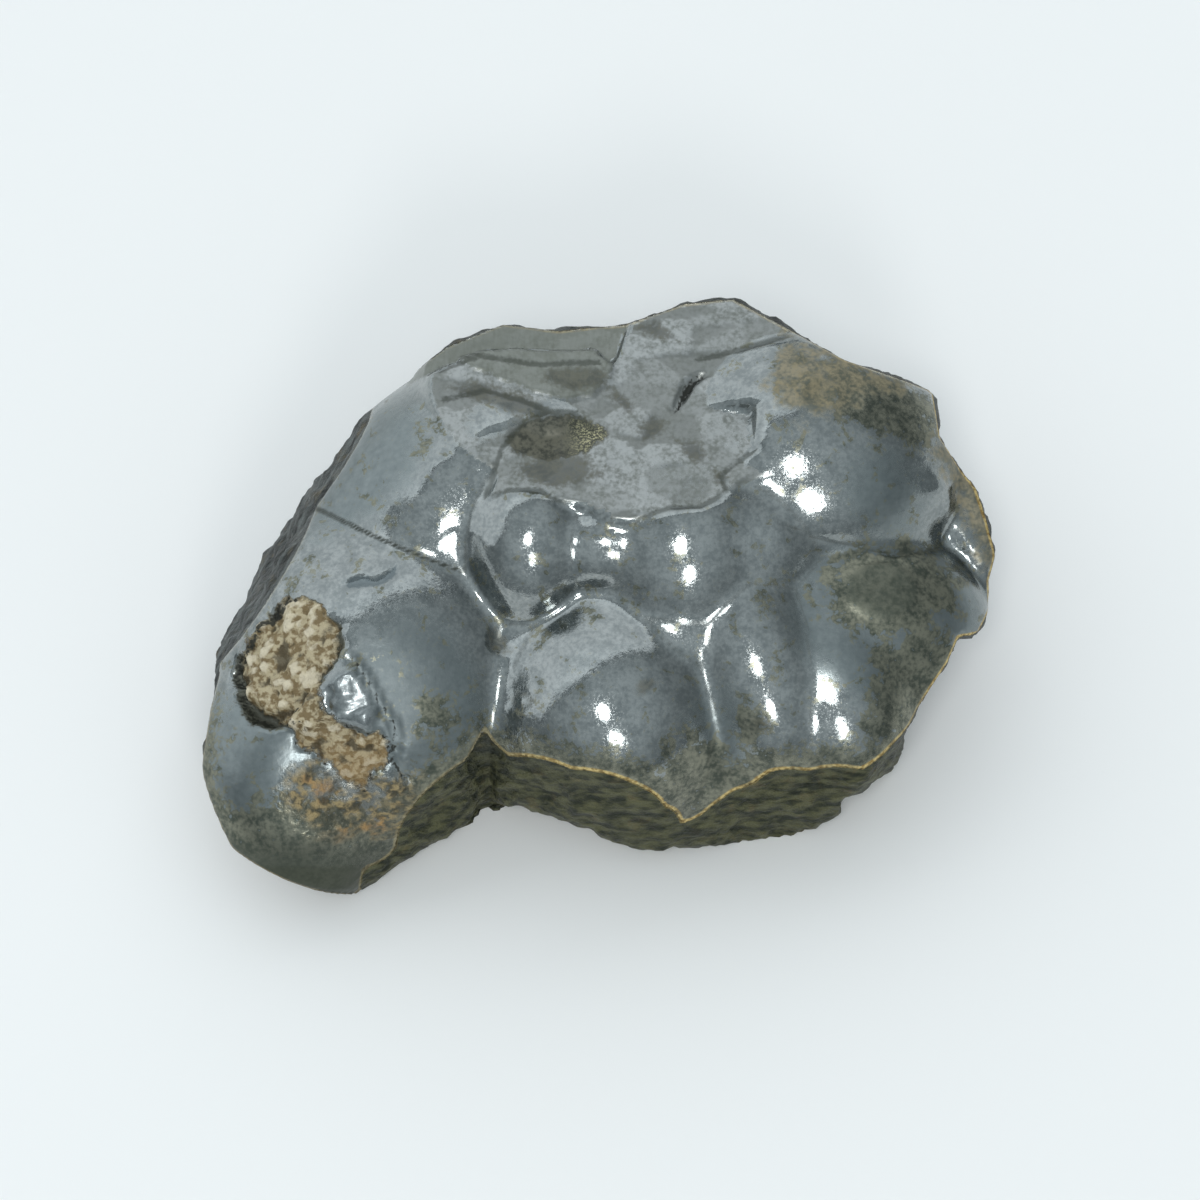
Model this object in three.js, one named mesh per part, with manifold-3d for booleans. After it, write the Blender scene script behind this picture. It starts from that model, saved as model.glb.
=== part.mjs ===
// A loose piece of botryoidal hematite: a broken slab of crust whose face is a cluster of mirror-bright domes.
// Millimetres, +Z up. The stone lies on the flat break of its underside, at z = 0.
import * as THREE from "three";
import { mergeVertices } from "three/addons/utils/BufferGeometryUtils.js";
import Module from "manifold-3d";

const wasm = await Module();
wasm.setup();

// ---- driving sizes ----
const crustLean = 28; // degrees by which the domed face tips down towards the front
const crustHeight = 8.4; // height of the domed face's own origin above the underside
const crustDepth = 26; // how far an outline on the face is carried down through the stone
const crustRise = 14; // how far it stands above the origin, clear of every dome
const farAway = 40; // reach of a break's cutting block, past every side of the stone
const domeSides = 44; // facets round a dome
const domeRings = 22; // facets from pole to pole

// ---- the domes ----
// Each is an ellipsoid in the domed face's own frame: across, up the face, out of the face.
// turn spins it about the face's normal, lean tips its crown up the face; both in degrees.
const domes = [
  { name: "core", centre: [0.8, -0.6, -6.4], radii: [25, 19, 9] },
  { name: "front root", centre: [5, -6.5, -6], radii: [15, 12.8, 10] },
  { name: "front slope", centre: [6.4, -4.6, -0.6], radii: [15, 9.6, 7.4] },
  { name: "lobe, low end", centre: [-17.6, -9.6, -1], radii: [6.8, 9.4, 7.8] },
  { name: "lobe, high end", centre: [-12.2, -4, -2.2], radii: [10.8, 11.3, 10.8] },
  { name: "lobe, toe", centre: [-15.4, -12.4, -2], radii: [6.4, 5.6, 5.2] },
  { name: "lobe, root", centre: [-12, -8, -5.5], radii: [8, 8.6, 9] },
  { name: "left flank", centre: [-16.4, -1, -4.4], radii: [7.4, 10, 6] },
  { name: "shoulder", centre: [-7.8, 5.8, -3.2], radii: [12, 8.2, 9.6], turn: 45 },
  { name: "grape, left", centre: [-3.5, 4.1, 2], radii: [4.8, 6.4, 6.4] },
  { name: "grape, middle", centre: [1, 3.8, 2.8], radii: [4.6, 4, 5.2] },
  { name: "grape, right", centre: [5.6, 3.6, 1.6], radii: [6.4, 7.4, 7.2] },
  { name: "grape, far right", centre: [9.2, 4, 0.8], radii: [6, 6, 6.8] },
  { name: "belly", centre: [1.2, -6.2, 0.6], radii: [8, 8.4, 9] },
  { name: "belly, left", centre: [-3.6, -5, 1.4], radii: [4.6, 8, 5.2] },
  { name: "belly, top", centre: [1.2, -1.6, 3], radii: [4.4, 4, 4.2] },
  { name: "belly, upper bud", centre: [5.2, -1.6, 3.2], radii: [4.6, 4, 4.3] },
  { name: "finger, left", centre: [10.1, -3.6, 2.2], radii: [4.9, 8.6, 6], turn: 17 },
  { name: "finger, right", centre: [14.6, -5, 1.4], radii: [5.4, 8.2, 6], turn: 12 },
  { name: "corner", centre: [12.8, 8.4, -2.4], radii: [10, 9, 9.4], turn: -10 },
  { name: "button", centre: [15.4, -0.9, -0.4], radii: [8.8, 6.6, 6.9], turn: -6 },
  { name: "right slope", centre: [18.8, -3.8, -1.6], radii: [5.6, 6.4, 6] },
  { name: "flange", centre: [22.4, 5.4, -3], radii: [6, 8.4, 4], turn: 26 },
];

// ---- the shelf behind the domes: a mound broken off flat, so that it slopes up the face ----
const shelfMound = { centre: [2.6, 12.3, -3], radii: [13.5, 9, 15] };
const shelfRise = 30; // degrees between the shelf and the face
const shelfThrough = [2, 5.6, 8.1]; // a point on the shelf, in the face's frame

// ---- the front of the shelf: a plate with a jagged edge. It covers the low parts of the domes and cuts off
// what stands above it ----
const shelfFront = [
  [-5.8, 6.6], [-4.6, 7], [-2.8, 6.9], [-2, 6.4], [-0.8, 6], [0.6, 5.6], [1.4, 5], [2.8, 5], [3.8, 5.6],
  [4.8, 5.9], [6.6, 6], [7.4, 6.4], [8.2, 7], [7.8, 7.8], [8.8, 8.6], [9.8, 9.4], [9.8, 12], [-2, 12],
  [-3.6, 11.2], [-4.7, 9.8], [-5.4, 8.2],
];

// ---- a dome that stands up out of the shelf ----
const stainedDome = { centre: [-2.2, 9.2, 1.4], radii: [4.4, 3.4, 4.4], lean: 30 };

// ---- a flake off the shelf's upper left: its outline on the face, and how deep its scar is ----
const flakeDepth = 0.8;
const flake = [
  [-11, 13.2], [-8.6, 14.4], [-5.8, 15.4], [-1.2, 15.1], [0.4, 15.4], [1.4, 14.2], [3.4, 19.6], [-11, 19.6],
];

// ---- pits sunk in the left lobe and the lump between them, in the domed face's frame ----
const pits = [
  { name: "upper pit", centre: [-18.2, -3.4, 8.4], radii: [3.2, 4.6, 3], turn: -20 },
  { name: "lower pit", centre: [-14.8, -8.8, 8.6], radii: [3.2, 2.6, 2.2], turn: -30 },
];
const lump = { centre: [-14, -5.2, 7.4], radii: [1.9, 1.8, 1.5] };

// ---- the edge of the crust, seen square to the domed face: across and up, clockwise from the upper left ----
const edge = [
  [-8.6, 15.6], [-5.2, 17], [-1.8, 16.6], [2.2, 17], [5.6, 18.2], [8.6, 18.5],
  [11.4, 17], [15.2, 14.8], [18.8, 13.6], [20.6, 13], [21, 10.2], [22.2, 8.4],
  [23.2, 7.2], [23.8, 5.4], [24.4, 3.2], [24, 1.6], [24.1, 0], [23.2, -1.6], [22, -1.8], [21.4, -3.2],
  [19.6, -6], [18.8, -7.6], [18.6, -9.2], [16.6, -11], [15.2, -11.6], [14.8, -12.6],
  [12.4, -13.9], [8.8, -14.3], [4.4, -14.6], [1.4, -14], [-2.2, -12.4], [-4.8, -12],
  [-6.6, -13], [-9.6, -14], [-11.4, -15], [-13, -16.6], [-14, -18], [-16.4, -17.2],
  [-18.8, -17], [-21.4, -15.4], [-22.6, -14.2], [-23.1, -12.4], [-23.1, -9.4], [-22.6, -6],
  [-22.1, -4], [-22.3, -1.8], [-20.6, 0.8], [-19.8, 2.8], [-18.4, 5.4], [-17.4, 7.4], [-16, 9.4],
  [-13.2, 12.2], [-11, 13.8],
];

// ---- the upright break along the front, seen from above: x and y from the left, then round behind the stone ----
const frontBreak = [
  [-farAway, -22], [-17, -22], [-13.4, -15], [-9.8, -12.5], [-7.2, -10.8], [-6.2, -9.3],
  [-4.8, -10.6], [-1, -12.4], [2.6, -13], [4.6, -13.3], [6.7, -12.7], [8.6, -11.9],
  [10.8, -11.5], [13.8, -11.3], [16.2, -11.4], [18.8, -9.8], [21, -7.6],
  [farAway, 0], [farAway, farAway], [-farAway, farAway],
];

// ---- flat breaks: facing is the compass direction of the outward normal (0 = +X, 90 = +Y),
// rise how far that normal points up, both in degrees, and through a point on the break ----
const breaks = [
  { name: "back", facing: 93, rise: -6, through: [4, 16.6, 14] },
  { name: "back left", facing: 118, rise: -8, through: [-11, 12.4, 12] },
  { name: "back right", facing: 55, rise: -15, through: [19, 11.6, 12] },
  { name: "right", facing: 4, rise: -28, through: [24, 2, 9] },
  { name: "front right", facing: -40, rise: -10, through: [19.4, -7.8, 8] },
  { name: "fibrous flank", facing: 155, rise: 24, through: [-17.4, 4, 10.9] },
  { name: "under the lobe", facing: 188, rise: -38, through: [-23, -6, 6] },
  { name: "under the toe", facing: 232, rise: -42, through: [-19.4, -14.6, 4] },
  { name: "underside", facing: 0, rise: -90, through: [0, 0, 0] },
];

// A closed three.js geometry as a manifold-3d solid.
function solid(geometry) {
  geometry.deleteAttribute("normal");
  geometry.deleteAttribute("uv");
  const merged = mergeVertices(geometry);
  return new wasm.Manifold(
    new wasm.Mesh({
      numProp: 3,
      vertProperties: merged.attributes.position.array,
      triVerts: new Uint32Array(merged.index.array),
    }),
  );
}

// From the domed face's frame to the stone's: tipped forward, and lifted to its height above the underside.
const faceToStone = new THREE.Matrix4()
  .makeRotationX(THREE.MathUtils.degToRad(crustLean))
  .setPosition(0, 0, crustHeight);

function ellipsoid({ centre, radii, turn = 0, lean = 0 }) {
  const geometry = new THREE.SphereGeometry(1, domeSides, domeRings);
  geometry.scale(...radii);
  geometry.rotateX(THREE.MathUtils.degToRad(-lean));
  geometry.rotateZ(THREE.MathUtils.degToRad(turn));
  geometry.translate(...centre);
  geometry.applyMatrix4(faceToStone);
  return solid(geometry);
}

function outline(points) {
  return new THREE.Shape(points.map(([x, y]) => new THREE.Vector2(x, y)));
}

// The block that an outline on the domed face cuts out, running square to the face.
function faceBlock(points) {
  const geometry = new THREE.ExtrudeGeometry(outline(points), {
    depth: crustDepth + crustRise,
    bevelEnabled: false,
  });
  geometry.translate(0, 0, -crustDepth);
  geometry.applyMatrix4(faceToStone);
  return solid(geometry);
}

// The block behind the upright front break.
function frontBlock() {
  const geometry = new THREE.ExtrudeGeometry(outline(frontBreak), { depth: 2 * farAway, bevelEnabled: false });
  geometry.translate(0, 0, -farAway);
  return solid(geometry);
}

// A block that holds everything beyond a flat break.
function beyond({ facing, rise, through }) {
  const geometry = new THREE.BoxGeometry(2 * farAway, 4 * farAway, 4 * farAway);
  geometry.translate(farAway, 0, 0);
  geometry.rotateY(THREE.MathUtils.degToRad(-rise));
  geometry.rotateZ(THREE.MathUtils.degToRad(facing));
  geometry.translate(...through);
  return solid(geometry);
}

// A block that holds everything above a plane parallel to the shelf and sunk below it by the given depth.
function aboveShelf(depth) {
  const geometry = new THREE.BoxGeometry(4 * farAway, 4 * farAway, 2 * farAway);
  geometry.translate(0, 0, farAway - depth);
  geometry.rotateX(THREE.MathUtils.degToRad(-shelfRise));
  geometry.translate(...shelfThrough);
  geometry.applyMatrix4(faceToStone);
  return solid(geometry);
}

function stone() {
  let body = ellipsoid(domes[0]);
  for (const dome of domes.slice(1)) body = body.add(ellipsoid(dome));
  const plate = faceBlock(shelfFront);
  body = body.subtract(plate.intersect(aboveShelf(0)));
  body = body.add(plate.add(ellipsoid(shelfMound)).subtract(aboveShelf(0))).add(ellipsoid(stainedDome));
  body = body.intersect(faceBlock(edge)).intersect(frontBlock());
  for (const flat of breaks) body = body.subtract(beyond(flat));
  body = body.subtract(faceBlock(flake).intersect(aboveShelf(flakeDepth)));
  for (const pit of pits) body = body.subtract(ellipsoid(pit));
  return body.add(ellipsoid(lump));
}

// The solid as a geometry, with the middle of its footprint at the origin.
function geometryOf(body) {
  const mesh = body.getMesh();
  const geometry = new THREE.BufferGeometry();
  geometry.setAttribute("position", new THREE.BufferAttribute(mesh.vertProperties, 3));
  geometry.setIndex(new THREE.BufferAttribute(mesh.triVerts, 1));
  geometry.computeBoundingBox();
  const middle = geometry.boundingBox.getCenter(new THREE.Vector3());
  geometry.translate(-middle.x, -middle.y, 0);
  geometry.computeVertexNormals();
  return geometry;
}

const steelGrey = new THREE.MeshStandardMaterial({ color: 0x5c666c, roughness: 0.15, metalness: 0.9 });

const hematite = new THREE.Mesh(geometryOf(stone()), steelGrey);
hematite.name = "hematite";

const group = new THREE.Group();
group.add(hematite);

export default group;
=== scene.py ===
import math

import bmesh
import bpy
import numpy as np
from mathutils import Matrix, Vector, noise


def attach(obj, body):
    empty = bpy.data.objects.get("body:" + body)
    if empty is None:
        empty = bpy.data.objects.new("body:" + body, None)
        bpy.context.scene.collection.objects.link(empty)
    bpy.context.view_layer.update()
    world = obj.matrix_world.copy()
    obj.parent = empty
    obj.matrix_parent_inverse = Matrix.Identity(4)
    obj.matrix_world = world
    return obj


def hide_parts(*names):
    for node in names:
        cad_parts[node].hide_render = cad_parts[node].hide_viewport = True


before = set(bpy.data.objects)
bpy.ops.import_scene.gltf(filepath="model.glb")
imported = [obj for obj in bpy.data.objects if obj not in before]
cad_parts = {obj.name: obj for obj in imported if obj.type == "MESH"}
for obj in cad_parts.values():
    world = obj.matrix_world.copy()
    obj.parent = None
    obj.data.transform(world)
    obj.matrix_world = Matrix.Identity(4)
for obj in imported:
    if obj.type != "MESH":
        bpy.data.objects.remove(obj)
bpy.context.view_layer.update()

MM = 0.001  # metres in a millimetre

# ---- driving sizes, in millimetres and degrees ----
CRUST_LEAN = 28  # how far the domed face tips down towards the front
CRUST_HEIGHT = 8.4  # height of the domed face's origin above the underside
CUBE_CUTS = 126  # cuts across each side of the cube that the fine mesh starts from
FACE_SHARE = 0.3  # how far the mesh is crowded towards the domed face
INSIDE = np.array([-1.5, -2.0, -6.0])  # a point deep inside, from which the first rays go out
SPREAD = np.array([23.0, 17.0, 9.0])  # half sizes of the ellipsoid that spaces those rays
OUTSIDE = 45  # length of a ray that ends outside the stone
CREASE_ROUND = 0.28  # how softly two domes meet
RIM_ROUND = 0.08  # how softly the crust's face meets a break
HALVINGS = 12  # steps that find where a ray leaves the stone
SETTLE_ROUNDS = 20  # rounds that even out the mesh
SETTLE_SHARE = 0.8  # of the way to its neighbours' middle that a point moves in a round
SETTLE_LAST = 2  # rounds that only pull the points back onto the surface

# ---- relief, in millimetres ----
EDGE_WOBBLE = 0.3  # how far noise moves the edges of the marks to and fro
PIT_DEPTH = 1.2  # of the upper pit's wall
PIT_WALL_LEFT_OF = -17  # where across the face that wall stands open beside the filling
FILLING_HEIGHT = 1.05  # of the crumbly filling above the pit's floor
FILLING_CRUMBS = 0.65  # and how far its crumbs stand up
LOWER_PIT_DEPTH = 0.6
LOWER_FILLING_HEIGHT = 0.5
LOWER_FILLING_CRUMBS = 0.6
CRUMBS = [(1, 1.1, 2), (0.55, 0.7, 3)]  # size, weight and noise seed of the large and the small crumbs
LUMP_HEIGHT = 0.3
LUMP_CHIP = 1.2  # size of the facets on the lump
LUMP_FACETS = 0.2  # and how far they differ in height
OCHRE_ROUGHNESS = 0.3
STEP_DEPTH = 0.3  # of the groove along the lump's right side
SHELF_CHIP = 2.8  # size of the flat chips on the shelf
SHELF_FACETS = 0.06  # and how far they differ in height
SHELF_GRAIN = 0.03
BROWN_DEPTH = 0.06
PLATE_HEIGHT = 0.22
CRACK_DEPTH = 0.6
LINE_DEPTH = 0.1  # of the ledges, the shelf's lip and the line above the button
DARK_DEPTH = 0.25
DENT_DEPTH = 0.12
DISC_HEIGHT = 0.08
SWIRL_HEIGHT = 0.12
SWIRL_DEPTH = 0.1
RING_DEPTH = 0.12
FLANGE_RIDGE_HEIGHT = 0.3
FLANGE_RIDGE_WIDTH = 0.6
RIPPLE_HEIGHT = 0.1
SKIN_ROUGHNESS = 0.012  # fine unevenness of the bright skin
SKIN_WAVES = 0.05  # and its broad unevenness
BREAK_LUMPS = 0.35  # unevenness of the broken sides
BREAK_FIBRES = 0.2  # and the grain along their fibres

# name, centre, radii, turn about the face's normal, lean of the crown up the face
DOMES = [
    ("core", (0.8, -0.6, -6.4), (25, 19, 9), 0, 0),
    ("front root", (5, -6.5, -6), (15, 12.8, 10), 0, 0),
    ("front slope", (6.4, -4.6, -0.6), (15, 9.6, 7.4), 0, 0),
    ("lobe, low end", (-17.6, -9.6, -1), (6.8, 9.4, 7.8), 0, 0),
    ("lobe, high end", (-12.2, -4, -2.2), (10.8, 11.3, 10.8), 0, 0),
    ("lobe, toe", (-15.4, -12.4, -2), (6.4, 5.6, 5.2), 0, 0),
    ("lobe, root", (-12, -8, -5.5), (8, 8.6, 9), 0, 0),
    ("left flank", (-16.4, -1, -4.4), (7.4, 10, 6), 0, 0),
    ("shoulder", (-7.8, 5.8, -3.2), (12, 8.2, 9.6), 45, 0),
    ("grape, left", (-3.5, 4.1, 2), (4.8, 6.4, 6.4), 0, 0),
    ("grape, middle", (1, 3.8, 2.8), (4.6, 4, 5.2), 0, 0),
    ("grape, right", (5.6, 3.6, 1.6), (6.4, 7.4, 7.2), 0, 0),
    ("grape, far right", (9.2, 4, 0.8), (6, 6, 6.8), 0, 0),
    ("belly", (1.2, -6.2, 0.6), (8, 8.4, 9), 0, 0),
    ("belly, left", (-3.6, -5, 1.4), (4.6, 8, 5.2), 0, 0),
    ("belly, top", (1.2, -1.6, 3), (4.4, 4, 4.2), 0, 0),
    ("belly, upper bud", (5.2, -1.6, 3.2), (4.6, 4, 4.3), 0, 0),
    ("finger, left", (10.1, -3.6, 2.2), (4.9, 8.6, 6), 17, 0),
    ("finger, right", (14.6, -5, 1.4), (5.4, 8.2, 6), 12, 0),
    ("corner", (12.8, 8.4, -2.4), (10, 9, 9.4), -10, 0),
    ("button", (15.4, -0.9, -0.4), (8.8, 6.6, 6.9), -6, 0),
    ("right slope", (18.8, -3.8, -1.6), (5.6, 6.4, 6), 0, 0),
    ("flange", (22.4, 5.4, -3), (6, 8.4, 4), 26, 0),
]

# The shelf behind the domes: a mound broken off flat, so that it slopes up the face.
SHELF_MOUND = ((2.6, 12.3, -3), (13.5, 9, 15), 0, 0)
SHELF_RISE = 30
SHELF_THROUGH = (2, 5.6, 8.1)

# The front of the shelf: a plate with a jagged edge. It covers the low parts of the domes and cuts the rest.
SHELF_FRONT = [
    (-5.8, 6.6), (-4.6, 7), (-2.8, 6.9), (-2, 6.4), (-0.8, 6), (0.6, 5.6), (1.4, 5), (2.8, 5), (3.8, 5.6),
    (4.8, 5.9), (6.6, 6), (7.4, 6.4), (8.2, 7), (7.8, 7.8), (8.8, 8.6), (9.8, 9.4), (9.8, 12), (-2, 12),
    (-3.6, 11.2), (-4.7, 9.8), (-5.4, 8.2),
]
SHELF_LIP = SHELF_FRONT[:16]  # the part of that edge which is a small step

# A dome that stands up out of the shelf.
STAINED_DOME = ((-2.2, 9.2, 1.4), (4.4, 3.4, 4.4), 0, 30)

# A flake off the shelf's upper left: how deep its scar is, and its outline.
FLAKE_DEPTH = 0.8
FLAKE = [
    (-11, 13.2), (-8.6, 14.4), (-5.8, 15.4), (-1.2, 15.1), (0.4, 15.4), (1.4, 14.2), (3.4, 19.6),
    (-11, 19.6),
]

# The edge of the crust, seen square to the domed face: across and up, clockwise from the upper left.
EDGE = [
    (-8.6, 15.6), (-5.2, 17), (-1.8, 16.6), (2.2, 17), (5.6, 18.2), (8.6, 18.5),
    (11.4, 17), (15.2, 14.8), (18.8, 13.6), (20.6, 13), (21, 10.2), (22.2, 8.4),
    (23.2, 7.2), (23.8, 5.4), (24.4, 3.2), (24, 1.6), (24.1, 0), (23.2, -1.6), (22, -1.8), (21.4, -3.2),
    (19.6, -6), (18.8, -7.6), (18.6, -9.2), (16.6, -11), (15.2, -11.6), (14.8, -12.6),
    (12.4, -13.9), (8.8, -14.3), (4.4, -14.6), (1.4, -14), (-2.2, -12.4), (-4.8, -12),
    (-6.6, -13), (-9.6, -14), (-11.4, -15), (-13, -16.6), (-14, -18), (-16.4, -17.2),
    (-18.8, -17), (-21.4, -15.4), (-22.6, -14.2), (-23.1, -12.4), (-23.1, -9.4), (-22.6, -6),
    (-22.1, -4), (-22.3, -1.8), (-20.6, 0.8), (-19.8, 2.8), (-18.4, 5.4), (-17.4, 7.4), (-16, 9.4),
    (-13.2, 12.2), (-11, 13.8),
]

# The upright break along the front, seen from above, closed far behind the stone.
FAR = 40
FRONT_BREAK = [
    (-FAR, -22), (-17, -22), (-13.4, -15), (-9.8, -12.5), (-7.2, -10.8), (-6.2, -9.3),
    (-4.8, -10.6), (-1, -12.4), (2.6, -13), (4.6, -13.3), (6.7, -12.7), (8.6, -11.9),
    (10.8, -11.5), (13.8, -11.3), (16.2, -11.4), (18.8, -9.8), (21, -7.6),
    (FAR, 0), (FAR, FAR), (-FAR, FAR),
]

# Flat breaks: name, compass direction of the outward normal, how far it points up, a point on the break.
BREAKS = [
    ("back", 93, -6, (4, 16.6, 14)),
    ("back left", 118, -8, (-11, 12.4, 12)),
    ("back right", 55, -15, (19, 11.6, 12)),
    ("right", 4, -28, (24, 2, 9)),
    ("front right", -40, -10, (19.4, -7.8, 8)),
    ("fibrous flank", 155, 24, (-17.4, 4, 10.9)),
    ("under the lobe", 188, -38, (-23, -6, 6)),
    ("under the toe", 232, -42, (-19.4, -14.6, 4)),
    ("underside", 0, -90, (0, 0, 0)),
]

# ---- what lies on the face, in its frame: outlines, lines and round spots ----
UPPER_PIT = [
    (-21.4, -3.6), (-21, -2.8), (-20.2, -1.8), (-19, -0.4), (-18, 0.8), (-16.4, 0.6), (-15.4, -0.2),
    (-14.6, -1), (-14.4, -2.4), (-15.6, -4.2), (-16.4, -5.4), (-17.2, -6.6), (-17.8, -7.2), (-19.2, -7.2),
    (-20.4, -6.8), (-21.2, -5.4),
]
UPPER_FILLING = [
    (-20.6, -2.6), (-19.6, -1.2), (-18.6, -0.4), (-18, 0.6), (-16.6, 0.4), (-15.6, -0.2), (-14.9, -1.4),
    (-15.2, -2.8), (-16.2, -4.4), (-15.8, -5.6), (-15, -6.6), (-16.4, -7.4), (-17.6, -7), (-19, -6.4),
    (-20, -5.9), (-20.7, -4.8), (-21, -3.6),
]
LOWER_PIT = [
    (-17.6, -6.8), (-16.6, -6.4), (-15.8, -6.6), (-14.2, -7), (-13.2, -7.6), (-12.4, -7.2), (-11.8, -7.8),
    (-11.8, -9.4), (-12.8, -9.8), (-13.2, -10.8), (-14.6, -10.2), (-15.4, -9.4), (-16.6, -8.6),
    (-17.4, -7.8),
]
LUMP = [
    (-16, -5), (-15.2, -4), (-14, -3.6), (-13.2, -4.6), (-12.6, -6), (-12.8, -7.4), (-14, -7), (-15, -6.4),
]
OCHRE_STAIN = [
    (-17.6, -9.6), (-16, -9), (-14.6, -10.6), (-13.2, -10.4), (-11.6, -9.4), (-9.8, -10.4), (-10, -12.2),
    (-11.2, -12.8), (-12.8, -13.8), (-15, -13.6), (-16.8, -12.8), (-18, -12), (-18.4, -11),
]
LOBE_STEP = [
    (-14.2, -2.8), (-13.2, -4), (-12.4, -5.6), (-11.6, -6.8), (-11.4, -8), (-11.6, -9), (-11.2, -10),
    (-10.6, -10.2),
]
LOBE_DENT = [
    (-14.5, 1.4), (-14, 1.9), (-13.2, 2), (-12.6, 1.7), (-11.4, 2.5), (-11.4, 2), (-12.4, 1.3),
    (-13.6, 1.2), (-14.4, 1),
]
TOP_PLATE = [
    (-8, 14.7), (-6.8, 14.2), (-3.4, 12.8), (-1.4, 12.2), (0.2, 12.6), (1.2, 13.6), (1.4, 14.2),
    (0.4, 15.4), (-5.8, 15.4), (-8.6, 14.8),
]
CRACK = [
    (5, 11.6), (5.3, 12.4), (5.6, 13.3), (6.2, 13.8), (7, 14.1), (6.4, 13.3), (5.9, 12.7), (5.4, 11.9),
]
DIRT = [
    (11.6, 16.4), (15.2, 15.2), (18.2, 14.2), (19.6, 13.4), (18.6, 12.6), (16.6, 12.4), (14.8, 11.5),
    (12.8, 10.8), (11.4, 11.8), (10.4, 13.8),
]
FLANGE_RIDGE = [(20.7, 7.2), (21.6, 5.6), (22.8, 3.8), (23.5, 2.8)]
FLANGE_TAN = [(21.2, 9.4), (22, 7.8), (22.9, 6.2), (23.4, 4.6), (23.8, 3), (25, 2.2), (25, 9), (22, 11)]
# thin ledges on the shelf and along its plates
LEDGES = [
    [(-6.2, 6.6), (-5.2, 9.4), (-4, 11), (-2.4, 11.7), (-0.8, 11.6), (0.2, 10.6)],
    [(6.4, 14.8), (9, 15.4), (11.8, 16.2)],
    [(-8.6, 12.4), (-6.2, 13), (-3.6, 12.2), (-1.6, 11.4)],
    [(-9, 14.2), (-6.4, 14.9), (-3.2, 14.4), (0.6, 14.5)],
]
BUTTON_LINE = [(11.6, 5), (13.4, 4.2), (15.2, 3.8), (18.2, 3.2), (20.8, 3.6), (23.2, 3.2)]
BROWN_PATCHES = [
    [(0.9, 13.4), (2, 12.9), (3, 11.7), (2.3, 11.4), (1.2, 12.6)],
    [(2.8, 10.7), (3.8, 11.5), (4.9, 11.1), (4.3, 10.3), (3.2, 9.7)],
    [(4.9, 10.1), (6.6, 9.9), (7.2, 8.9), (6.3, 8.4), (5.5, 9.1)],
    [(7.2, 8.4), (8.3, 8), (8.6, 7.6), (7.6, 7.1)],
    [(-8.5, 13.1), (-6.5, 13.7), (-3.4, 12.6), (-1.4, 11.4), (-3.4, 11.1), (-5.9, 11.9)],
    [(-2.5, 14.3), (0.9, 14.3), (1.2, 13.3), (-0.8, 12.6), (-2.8, 13.4)],
    [(2, 17), (4.3, 17.3), (5.5, 15.9), (4.1, 15.9)],
]
# centre, half width, half height and turn of each round spot
SMUDGES = [
    (-1.8, 8.2, 2.6, 1.1, 0), (0.2, 7.9, 0.8, 0.5, 0), (3.4, -4.6, 0.9, 0.5, 25), (10.4, -7, 0.8, 0.5, 0),
    (17, -10, 2.2, 0.7, 34),
]
ORANGE_SPOTS = [(-15.8, -10.8, 1, 0.8, 0), (-15, -13.6, 1.1, 0.9, 0), (-12.8, -13, 0.9, 0.7, 0)]
SHOULDER_RIPPLES = (-8.2, 7, 5, 4.4, 0)
STAINED = (-2, 10.1, 3.0, 1.4, 4)
SWIRL = (13.6, 12.6, 1.2, 1.1, 0)
RING_PIT = (-4, -5.5, 0.5, 0.4, 0)
BUTTON_DISC = (17.4, 1, 2.2, 1.7, 0)
DARK_SPOT = (-5.3, -2, 0.6, 0.9, 20)
FILM_SPOTS = [
    (-17, -14.5, 7, 3.4, 0), (6.4, -10, 2.6, 2.6, 0), (12, -10.4, 6, 2.2, 8), (19.5, -5, 3.4, 4, -30),
    (-9, -6.4, 1.2, 1.6, 10), (17, 12, 5, 2, -25), (18, 1, 4.4, 3, 0), (9.6, -6.8, 1.2, 1.6, 20),
]
# places where the skin is satin rather than bright, and places where it is nearly matt
SATIN_SPOTS = [
    (-19.6, -11, 5, 7, 0), (-10.4, -6, 4.6, 6, 12), (18, -0.6, 6.4, 5.4, 0), (8, -8.4, 2, 4.6, 15),
    (17.6, 6.6, 2.6, 3.4, 20), (-14, 8.4, 3.4, 6, -48),
]
MATT_SPOTS = [(-11.8, -3.6, 4.6, 5, 0), (17.6, 0.6, 5, 4, 0)]


# ---- frames ----
def turn_x(degrees):
    c, s = math.cos(math.radians(degrees)), math.sin(math.radians(degrees))
    return np.array([[1, 0, 0], [0, c, -s], [0, s, c]])


def turn_z(degrees):
    c, s = math.cos(math.radians(degrees)), math.sin(math.radians(degrees))
    return np.array([[c, -s, 0], [s, c, 0], [0, 0, 1]])


FACE_TO_STONE = turn_x(CRUST_LEAN)
FACE_ORIGIN = np.array([0, 0, CRUST_HEIGHT])


def to_stone(points):
    return points @ FACE_TO_STONE.T + FACE_ORIGIN


def lengths(vectors):
    return np.sqrt((vectors * vectors).sum(1))


# ---- distances from surfaces, negative inside, each with its gradient ----
def from_dome(points, centre, radii, turn, lean):
    own = turn_z(turn) @ turn_x(-lean)
    scaled = (points - np.array(centre)) @ own / np.array(radii)
    steep = scaled / np.array(radii)
    reach, slope = lengths(scaled), lengths(steep) + 1e-9
    return reach * (reach - 1) / slope, (steep / slope[:, None]) @ own.T


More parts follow.
